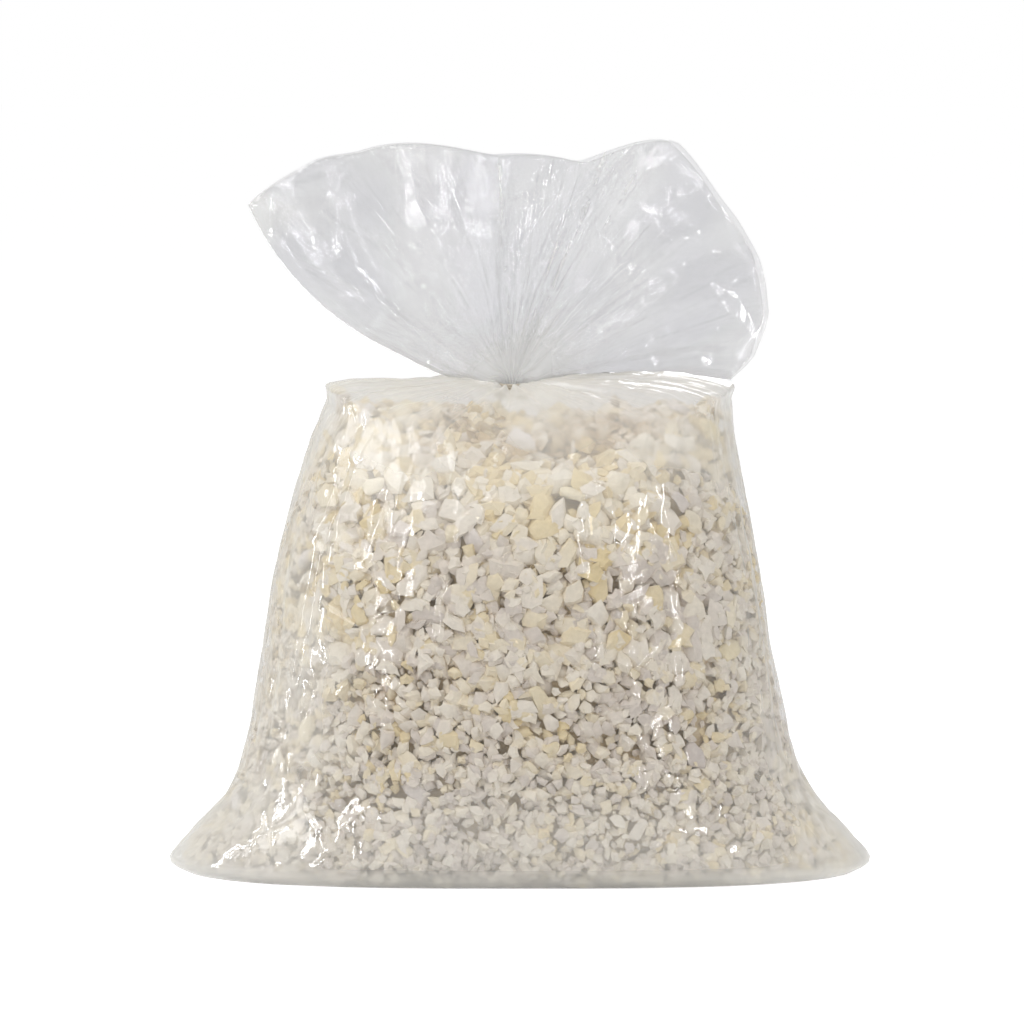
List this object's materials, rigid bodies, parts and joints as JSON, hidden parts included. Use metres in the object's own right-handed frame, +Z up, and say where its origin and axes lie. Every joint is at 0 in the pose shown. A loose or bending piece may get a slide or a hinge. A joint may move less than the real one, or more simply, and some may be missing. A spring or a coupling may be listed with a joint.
{
  "type": "bag of shredded foam",
  "caption": "Clear film bag filled with torn cream foam shreds, standing on its base, gathered and banded at the neck under a loose fanned mouth.",
  "frame": {"origin": "centre of the flat base that the filled bag stands on", "axes": "+Z up through the neck; X from ear to ear along the seal; the bag's front faces -Y"},
  "size_m": [0.458, 0.2359, 0.4718],
  "materials": {
    "clear_film": "clear polyethylene film, slightly milky",
    "natural_rubber": "plain rubber band",
    "cream_foam": "torn flexible foam, cream",
    "yellow_foam": "torn flexible foam, pale yellow",
    "grey_foam": "torn flexible foam, warm grey"
  },
  "bodies": {
    "root": {"film_bag": "clear_film", "neck_band": "natural_rubber", "foam_fill": "cream_foam", "foam_shred_01": "cream_foam", "foam_shred_02": "yellow_foam", "foam_shred_03": "grey_foam", "foam_shred_04": "cream_foam", "foam_shred_05": "yellow_foam", "foam_shred_06": "grey_foam", "foam_shred_07": "cream_foam", "foam_shred_08": "yellow_foam", "foam_shred_09": "grey_foam", "foam_shred_10": "cream_foam", "foam_shred_11": "yellow_foam", "foam_shred_12": "grey_foam", "foam_shred_13": "cream_foam", "foam_shred_14": "yellow_foam", "foam_shred_15": "grey_foam", "foam_shred_16": "cream_foam", "foam_shred_17": "yellow_foam", "foam_shred_18": "grey_foam", "foam_shred_19": "cream_foam", "foam_shred_20": "yellow_foam", "foam_shred_21": "grey_foam", "foam_shred_22": "cream_foam", "foam_shred_23": "yellow_foam", "foam_shred_24": "grey_foam", "foam_shred_25": "cream_foam", "foam_shred_26": "yellow_foam", "foam_shred_27": "grey_foam", "foam_shred_28": "cream_foam", "foam_shred_29": "yellow_foam", "foam_shred_30": "grey_foam", "foam_shred_31": "cream_foam", "foam_shred_32": "yellow_foam", "foam_shred_33": "grey_foam", "foam_shred_34": "cream_foam", "foam_shred_35": "yellow_foam", "foam_shred_36": "grey_foam", "foam_shred_37": "cream_foam", "foam_shred_38": "yellow_foam", "foam_shred_39": "grey_foam", "foam_shred_40": "cream_foam", "foam_shred_41": "yellow_foam", "foam_shred_42": "grey_foam", "foam_shred_43": "cream_foam", "foam_shred_44": "yellow_foam", "foam_shred_45": "grey_foam", "foam_shred_46": "cream_foam", "foam_shred_47": "yellow_foam", "foam_shred_48": "grey_foam", "foam_shred_49": "cream_foam", "foam_shred_50": "yellow_foam", "foam_shred_51": "grey_foam", "foam_shred_52": "cream_foam"}
  },
  "joints": []
}
